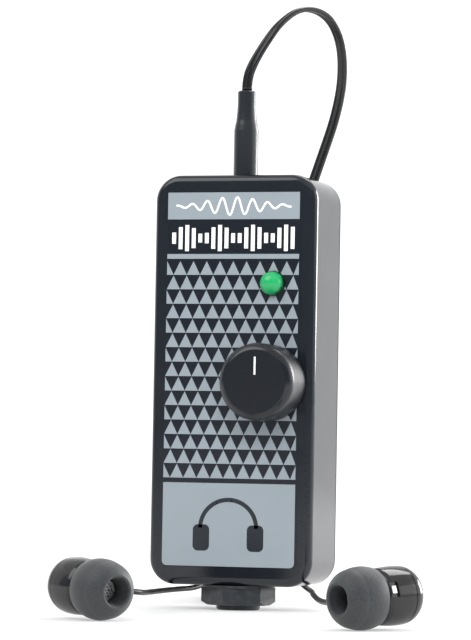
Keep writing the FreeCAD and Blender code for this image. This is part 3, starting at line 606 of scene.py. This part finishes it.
def lens_green():
    """Clear green epoxy with painted shade: bright where the dome faces forward, dark round its side.
    """
    material = surface(
        "green_epoxy", (0.012, 0.42, 0.13), 0.05, grain=1.2, depth=0.003, vary=0.08,
        rough_vary=0.02, Transmission_Weight=0.25, IOR=1.5,
    )
    tree = material.node_tree
    shader = tree.nodes["Principled BSDF"]
    # painted shade: the colour darkens as the dome turns away from the front, and the glow follows it
    ramp = add_node(tree, "ShaderNodeValToRGB", {"Fac": facing(tree, (-0.1, -0.96, 0.25))})
    stops = ramp.color_ramp.elements
    stops[0].position, stops[0].color = 0.0, (0.001, 0.045, 0.015, 1)
    stops[1].position, stops[1].color = 0.95, (0.016, 0.40, 0.13, 1)
    middle = stops.new(0.32)
    middle.color = (0.010, 0.33, 0.10, 1)
    tree.links.new(ramp.outputs["Color"], shader.inputs["Base Color"])
    tree.links.new(ramp.outputs["Color"], shader.inputs["Emission Color"])
    shader.inputs["Emission Strength"].default_value = 0.16
    return material


green_lens = lens_green()

FINISHES = {
    case_gloss: ["front_shell", "back_cover"],
    film_gloss: ["front_label"],
    knob_satin: ["volume_knob"],
    pointer_white: ["knob_pointer"],
    jack_black: ["input_jack_bushing", "input_jack_nut", "input_jack_washer"],
    black_steel: ["cover_screws"],
    steel: [
        "board_screws", "pot_shaft", "pot_bushing", "pot_nut", "pot_washer",
        "battery_plus_plate", "battery_minus_leaf", "input_tip_spring",
    ],
    plain_black: [
        "input_jack_body", "phones_jack_body", "pot_body", "battery_holder", "plug_insulators",
    ],
    nylon: ["pot_wiper"],
    tinned: ["pot_pins", "led_legs", "input_terminals", "phones_jack_contacts"],
    ceramic: ["resistors"],
    can_blue: ["capacitors"],
    chip_grey: ["amplifier_chip"],
    green_lens: ["status_led"],
    board_green: ["circuit_board"],
    cell_wrap: ["battery"],
    grip_rubber: ["plug_overmould", "cord_slider", "left_bud_relief", "right_bud_relief"],
    gold_plate: ["plug_sleeve", "plug_ring", "plug_tip"],
    cord_black: ["main_cord", "cord_hank"],
    lead_black: ["left_lead", "right_lead"],
    band_black: ["hank_tie"],
    left_silicone: ["left_ear_tip"],
    right_silicone: ["right_ear_tip"],
    bud_gloss: [
        "left_bud_housing", "right_bud_housing", "left_bud_cap", "right_bud_cap",
        "left_bud_nozzle", "right_bud_nozzle",
    ],
    grille_steel: ["left_bud_grille", "right_bud_grille", "left_bud_driver", "right_bud_driver"],
    mark_white: ["side_mark"],
}


def dress(piece, material):
    """Puts one material on the whole of a piece."""
    if not piece.material_slots:
        piece.data.materials.append(material)
    for slot in piece.material_slots:
        slot.material = material


for material, names in FINISHES.items():
    for name in names:
        dress(nodes[name], material)
dress(main_cord, cord_black)
dress(left_lead, lead_black)
dress(right_lead, lead_black)


# ---------------------------------------------------------------- print on the front
FILM_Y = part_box("front_label")[0].y / MM
INK_Y = FILM_Y - 0.02
INK_PROUD = 0.012
HALF = 14.4
PRINT_X = -0.25  # the print sits this far off the case's middle
TOP_BAR, THIN_BAR, PANEL = (81.8, 87.45), (73.5, 74.5), (9.2, 26.55)
PANEL_CORNER = 1.0
ROW, COLUMN, TRIANGLE, ROWS = 3.04, 2.91, 2.88, 15
FIELD_TOP = 73.0
KNOB_OPENING, LED_OPENING = 6.3, 2.7
WAVE_Z, WAVE_HALF, WAVE_TALL = 84.55, 12.6, 1.9
BARS, BAR_STEP, BAR_HALF, BARS_Z = 19, 1.44, 0.42, 77.85
BAND_WIDE, BAND_TALL, BAND_Z = 6.1, 5.9, 17.2


def prisms(name, outlines, front, back):
    """Flat shapes lying on the front, each a closed plate between two Y values."""
    shape = bmesh.new()
    for outline in outlines:
        near = [shape.verts.new(((x + PRINT_X) * MM, front * MM, z * MM)) for x, z in outline]
        far = [shape.verts.new(((x + PRINT_X) * MM, back * MM, z * MM)) for x, z in outline]
        count = len(outline)
        shape.faces.new(near)
        shape.faces.new(list(reversed(far)))
        for i in range(count):
            shape.faces.new((near[i], far[i], far[(i + 1) % count], near[(i + 1) % count]))
    bmesh.ops.recalc_face_normals(shape, faces=shape.faces)
    return piece_from(name, shape)


def plate(x0, x1, z0, z1, corner=0.0, corners="bt"):
    """A rectangle, with round corners at its bottom, its top or both."""
    if not corner:
        return [(x0, z0), (x1, z0), (x1, z1), (x0, z1)]
    found = []
    for cx, cz, start, where in (
        (x1 - corner, z0 + corner, -90, "b"), (x1 - corner, z1 - corner, 0, "t"),
        (x0 + corner, z1 - corner, 90, "t"), (x0 + corner, z0 + corner, 180, "b"),
    ):
        if where in corners:
            for step in range(7):
                a = math.radians(start + 15 * step)
                found.append((cx + corner * math.cos(a), cz + corner * math.sin(a)))
        else:
            found.append((x1 if start < 90 else x0, z1 if where == "t" else z0))
    return found


def stroke(points, wide):
    """The outline of a line of even width through the points."""
    left, right = [], []
    for i, (x, z) in enumerate(points):
        ahead, back = points[min(i + 1, len(points) - 1)], points[max(i - 1, 0)]
        dx, dz = ahead[0] - back[0], ahead[1] - back[1]
        long = math.hypot(dx, dz)
        nx, nz = -dz / long * wide / 2, dx / long * wide / 2
        left.append((x + nx, z + nz))
        right.append((x - nx, z - nz))
    return left + right[::-1]


def triangles():
    """Rows of light triangles; every second row starts and ends with half of one."""
    found = []
    for row in range(ROWS):
        top = FIELD_TOP - ROW * row
        base = top - TRIANGLE
        if row % 2:
            middles = [-HALF + COLUMN * (i + 0.5) for i in range(10)]
        else:
            middles = [-HALF + COLUMN * i for i in range(11)]
        for x in middles:
            left, right = max(x - COLUMN / 2, -HALF), min(x + COLUMN / 2, HALF)
            found.append([(left, base), (right, base), (min(max(x, -HALF), HALF), top)])
    return found


def cut_round(piece, x, z, radius):
    """Cuts a round opening through a flat piece."""
    bpy.ops.mesh.primitive_cylinder_add(
        vertices=64, radius=radius * MM, depth=0.004,
        location=(x * MM, FILM_Y * MM, z * MM), rotation=(math.pi / 2, 0, 0),
    )
    cutter = bpy.context.object
    modifier = piece.modifiers.new("opening", "BOOLEAN")
    modifier.object = cutter
    modifier.operation = "DIFFERENCE"
    modifier.solver = "EXACT"
    bpy.context.view_layer.update()
    graph = bpy.context.evaluated_depsgraph_get()
    made = bpy.data.meshes.new_from_object(piece.evaluated_get(graph))
    piece.modifiers.remove(modifier)
    piece.data = made
    bpy.data.objects.remove(cutter)


def centre_xz(node):
    """The middle of a CAD node seen from the front, in millimetres."""
    middle = middle_of(node) / MM
    return middle.x, middle.z


def print_field():
    """The grey print: bars, panel and triangles, with room round the light and the knob."""
    knob_x, knob_z = centre_xz("volume_knob")
    led_x, led_z = centre_xz("status_led")
    clear, near = [], []
    for outline in triangles():
        x = sum(p[0] for p in outline) / 3 + PRINT_X
        z = sum(p[1] for p in outline) / 3
        to_knob = math.hypot(x - knob_x, z - knob_z)
        to_led = math.hypot(x - led_x, z - led_z)
        if to_knob < 4.0 or to_led < 0.5:
            continue
        (near if to_knob < 9.0 or to_led < 5.0 else clear).append(outline)
    grey = [
        plate(-HALF, HALF, *TOP_BAR),
        plate(-HALF, HALF, *THIN_BAR),
        plate(-HALF, HALF, *PANEL, PANEL_CORNER, "b"),
    ]
    field = prisms("print_grey", grey + clear, INK_Y, FILM_Y)
    cut = prisms("print_round_openings", near, INK_Y, FILM_Y)
    cut_round(cut, led_x, led_z, LED_OPENING)
    cut_round(cut, knob_x, knob_z, KNOB_OPENING)
    return field, cut


def wave_line():
    """A wave that swells in its middle."""
    points = []
    for step in range(121):
        x = -WAVE_HALF + 2 * WAVE_HALF * step / 120
        swell = math.exp(-((x / 8.0) ** 2))
        points.append((x, WAVE_Z + WAVE_TALL * swell * math.sin(x * 1.9)))
    return stroke(points, 0.42)


def equaliser_bars():
    """A row of upright bars whose heights rise and fall."""
    found = []
    for i in range(BARS):
        x = BAR_STEP * (i - (BARS - 1) / 2)
        tall = 1.2 + 4.3 * abs(math.sin(0.62 * i + 0.4)) ** 1.4
        found.append(plate(x - BAR_HALF, x + BAR_HALF, BARS_Z - tall / 2, BARS_Z + tall / 2))
    return found


def headphone_outline():
    """A pair of headphones: a round band and two cups."""
    band = []
    for step in range(33):
        a = math.radians(180 * step / 32)
        band.append((BAND_WIDE * math.cos(a), BAND_Z + BAND_TALL * math.sin(a)))
    found = [stroke(band, 0.9)]
    for side in (-1, 1):
        inner, outer = sorted((side * 4.1, side * 7.7))
        found.append(plate(inner, outer, 12.4, 17.9, 1.1))
    return found


def print_front():
    """All the print on the front film."""
    field, cut = print_field()
    white = [wave_line()] + equaliser_bars()
    marks = prisms("print_white", white, INK_Y - INK_PROUD, INK_Y + INK_PROUD)
    dark = prisms("print_dark", headphone_outline(), INK_Y - INK_PROUD, INK_Y + INK_PROUD)
    for piece, material in (
        (field, ink_grey), (cut, ink_grey), (marks, ink_white), (dark, ink_dark)
    ):
        dress(piece, material)
        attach(piece, "root")


print_front()


# ---------------------------------------------------------------- room and light, in metres
ROOM_FLAT, ROOM_BEND, ROOM_TOP, ROOM_SIDES = 2.6, 1.4, 3.2, 96
ROOM_REACH = ROOM_FLAT + ROOM_BEND
SCREEN_AT = 2.2
LIGHTS_AIM = Vector((0, 0, 0.05))


def room_profile():
    """The room's half section from the flat floor's edge up the wall, as (radius, height)."""
    found = [(ROOM_FLAT, 0.0)]
    for step in range(1, 13):
        a = math.radians(90 * step / 12)
        found.append((ROOM_FLAT + ROOM_BEND * math.sin(a), ROOM_BEND - ROOM_BEND * math.cos(a)))
    found.append((ROOM_REACH, ROOM_TOP))
    return found


def room_finish():
    """Pale grey with a glow of its own, which grows towards the back wall."""
    material, tree, shader = node_tree("pale_floor")
    shader.inputs["Base Color"].default_value = (0.46, 0.46, 0.46, 1)
    shader.inputs["Roughness"].default_value = 0.8
    shader.inputs["Emission Color"].default_value = (1, 1, 1, 1)
    depth = add_node(
        tree, "ShaderNodeSeparateXYZ", {"Vector": geometry(tree, "Position")}
    ).outputs["Y"]
    share = ranged(tree, depth, 0.0, 1.0, -ROOM_REACH, ROOM_REACH)
    ramp = add_node(tree, "ShaderNodeValToRGB", {"Fac": share})
    stops = ramp.color_ramp.elements
    stops[0].position, stops[0].color = 0.5, (0.34, 0.34, 0.34, 1)
    stops[1].position, stops[1].color = 0.9, (0.72, 0.72, 0.72, 1)
    between = stops.new(0.62)
    between.color = (0.5, 0.5, 0.5, 1)
    tree.links.new(ramp.outputs["Color"], shader.inputs["Emission Strength"])
    return material


def make_room():
    """A pale floor that curves up into a wall all round, too far off to show an edge."""
    shape = bmesh.new()
    middle = shape.verts.new((0, 0, 0))
    rings = []
    for radius, z in room_profile():
        ring = []
        for i in range(ROOM_SIDES):
            a = 2 * math.pi * i / ROOM_SIDES
            ring.append(shape.verts.new((radius * math.cos(a), radius * math.sin(a), z)))
        rings.append(ring)
    for i in range(ROOM_SIDES):
        shape.faces.new((middle, rings[0][i], rings[0][(i + 1) % ROOM_SIDES]))
    for a, b in zip(rings, rings[1:]):
        for i in range(ROOM_SIDES):
            beside = (i + 1) % ROOM_SIDES
            shape.faces.new((a[i], b[i], b[beside], a[beside]))
    floor = piece_from("floor", shape)
    floor.data.shade_smooth()
    dress(floor, room_finish())


def screen(name, start, end, low, high, colour, strength):
    """A curved screen between two angles from +X, seen only in reflections."""
    shape = bmesh.new()
    columns = []
    for step in range(41):
        a = math.radians(start + (end - start) * step / 40)
        x, y = SCREEN_AT * math.cos(a), SCREEN_AT * math.sin(a)
        columns.append((shape.verts.new((x, y, low)), shape.verts.new((x, y, high))))
    for a, b in zip(columns, columns[1:]):
        shape.faces.new((a[0], b[0], b[1], a[1]))
    sheet = piece_from(name, shape)
    material, _, shader = node_tree(name)
    shader.inputs["Base Color"].default_value = (0, 0, 0, 1)
    shader.inputs["Emission Color"].default_value = (*colour, 1)
    shader.inputs["Emission Strength"].default_value = strength
    dress(sheet, material)
    sheet.visible_camera = False
    sheet.visible_diffuse = False
    sheet.visible_shadow = False


def area_light(name, at, wide, tall, power, mirrored=True):
    """A light that points at the object; one that isn't mirrored shows in no reflection."""
    data = bpy.data.lights.new(name, "AREA")
    data.shape = "RECTANGLE"
    data.size, data.size_y = wide, tall
    data.energy = power
    lamp = bpy.data.objects.new(name, data)
    lamp.location = at
    aim = LIGHTS_AIM - Vector(at)
    lamp.rotation_euler = aim.to_track_quat("-Z", "Y").to_euler()
    lamp.visible_glossy = mirrored
    scene.collection.objects.link(lamp)


def make_light():
    """An even white surround and five lights."""
    world = bpy.data.worlds.new("world")
    world.use_nodes = True
    backdrop = world.node_tree.nodes["Background"]
    backdrop.inputs["Color"].default_value = (1, 1, 1, 1)
    backdrop.inputs["Strength"].default_value = 0.8
    scene.world = world
    area_light("key", (-0.9, -1.1, 1.5), 1.5, 1.5, 18)
    area_light("right_side", (1.5, 0.25, 0.5), 1.2, 1.2, 26, mirrored=False)
    area_light("right_back", (1.1, 1.35, 0.45), 0.7, 0.7, 24)
    area_light("near_camera", (0.27, -0.88, 0.56), 0.34, 0.34, 4.5, mirrored=False)
    area_light("top_back", (0.2, 0.9, 1.5), 1.0, 0.6, 10)


make_room()
screen("front_screen", -172, -10, 0.0, 1.5, (0.68, 0.85, 1.0), 0.3)
screen("left_screen", 112, 150, 0.0, 1.2, (1, 1, 1), 2.0)
screen("right_screen", -10, 28, 0.24, 1.4, (1, 1, 1), 1.9)
make_light()
scene.view_settings.view_transform = "Standard"
